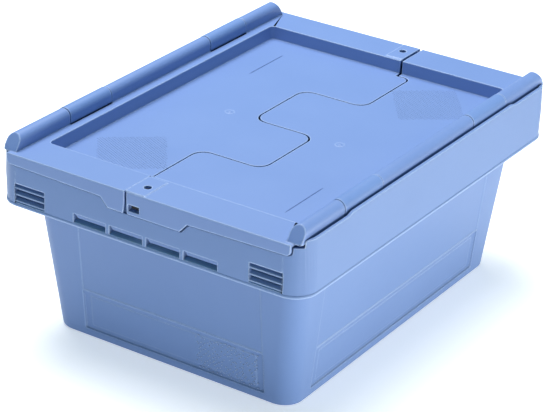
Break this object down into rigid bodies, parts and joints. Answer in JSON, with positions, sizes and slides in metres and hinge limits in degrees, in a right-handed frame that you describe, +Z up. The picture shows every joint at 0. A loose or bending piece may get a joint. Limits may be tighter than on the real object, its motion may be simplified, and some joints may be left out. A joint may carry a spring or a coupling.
{
  "type": "stacking crate with attached lid",
  "caption": "Tapered plastic stacking crate with an overhanging collar and an attached folding lid in two interlocking leaves, hinged along the long sides, with a stacking recess.",
  "frame": {"origin": "middle of the flat foot, on the surface that the crate stands on", "axes": "+X along the length, +Y across the width towards the left lid leaf's hinge, +Z up"},
  "size_m": [0.4, 0.3, 0.1822],
  "materials": {
    "container_plastic": "moulded, satin",
    "lid_plastic": "moulded, satin",
    "clip_plastic": "moulded, satin",
    "hinge_steel": "drawn wire"
  },
  "bodies": {
    "container": {"container_body": "container_plastic", "hinge_rod_right": "hinge_steel", "hinge_rod_left": "hinge_steel", "hinge_clip_right_front": "clip_plastic", "hinge_clip_right_rear": "clip_plastic", "hinge_clip_left_front": "clip_plastic", "hinge_clip_left_rear": "clip_plastic"},
    "right_leaf": {"lid_leaf_right": "lid_plastic"},
    "left_leaf": {"lid_leaf_left": "lid_plastic"}
  },
  "joints": [
    {"name": "right_lid_hinge", "type": "hinge", "parent": "container", "child": "right_leaf", "pos_m": [0, -0.1384, 0.1768], "axis": [1, 0, 0], "range_deg": [0, 230]},
    {"name": "left_lid_hinge", "type": "hinge", "parent": "container", "child": "left_leaf", "pos_m": [0, 0.1384, 0.1768], "axis": [-1, 0, 0], "range_deg": [0, 230]}
  ]
}
